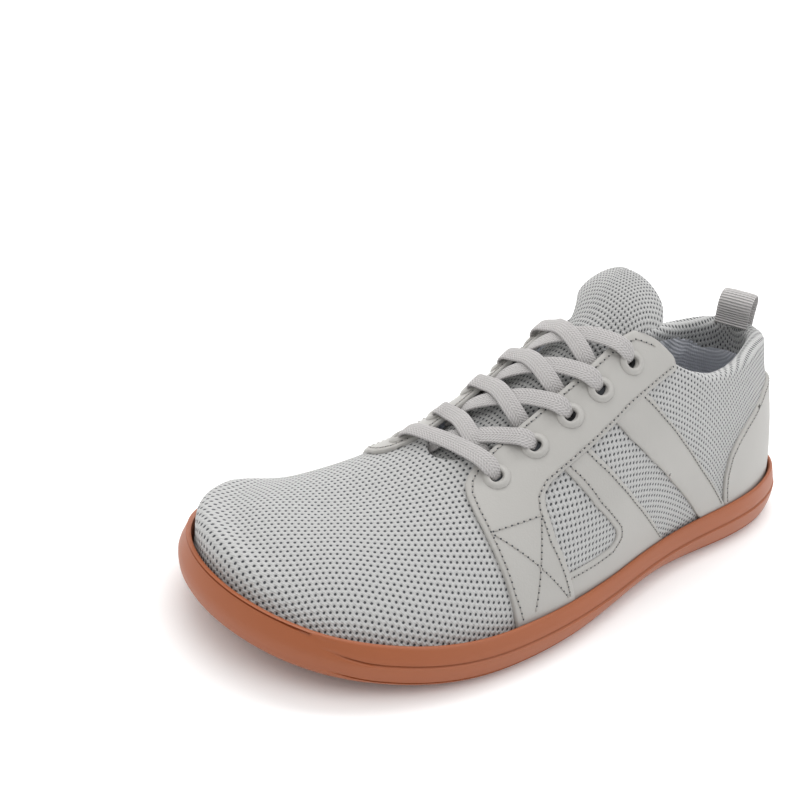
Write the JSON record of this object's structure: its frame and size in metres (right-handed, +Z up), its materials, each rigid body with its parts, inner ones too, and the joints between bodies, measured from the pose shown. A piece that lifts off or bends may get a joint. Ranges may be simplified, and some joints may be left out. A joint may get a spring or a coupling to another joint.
{
  "type": "barefoot shoe",
  "caption": "Left low-cut barefoot shoe with a wide toe box, gum rubber cup sole, mesh upper with leather overlays, padded tongue and flat lacing.",
  "frame": {"origin": "middle of the sole's length and width, on the floor under heel and ball", "axes": "+X toward the toe, +Y toward the outer (lateral) side, +Z up"},
  "size_m": [0.292, 0.1202, 0.1163],
  "materials": {
    "gum_rubber": "satin",
    "air_mesh": "matte",
    "coated_leather": "satin",
    "eyelet_ring": "matte",
    "woven_lace": "matte",
    "woven_webbing": "matte",
    "sock_lining": "matte"
  },
  "bodies": {
    "root": {"outsole": "gum_rubber", "upper": "air_mesh", "insole": "sock_lining", "tongue": "air_mesh", "heel_counter": "coated_leather", "heel_pull_loop": "woven_webbing", "lace_bar": "woven_lace", "quarter_panel_lateral": "coated_leather", "side_stripe_lateral": "coated_leather", "eyelet_lateral_1": "eyelet_ring", "eyelet_lateral_2": "eyelet_ring", "eyelet_lateral_3": "eyelet_ring", "eyelet_lateral_4": "eyelet_ring", "eyelet_lateral_5": "eyelet_ring", "quarter_panel_medial": "coated_leather", "side_stripe_medial": "coated_leather", "eyelet_medial_1": "eyelet_ring", "eyelet_medial_2": "eyelet_ring", "eyelet_medial_3": "eyelet_ring", "eyelet_medial_4": "eyelet_ring", "eyelet_medial_5": "eyelet_ring", "lace_crossing_1": "woven_lace", "lace_crossing_2": "woven_lace", "lace_crossing_3": "woven_lace", "lace_crossing_4": "woven_lace"}
  },
  "joints": []
}
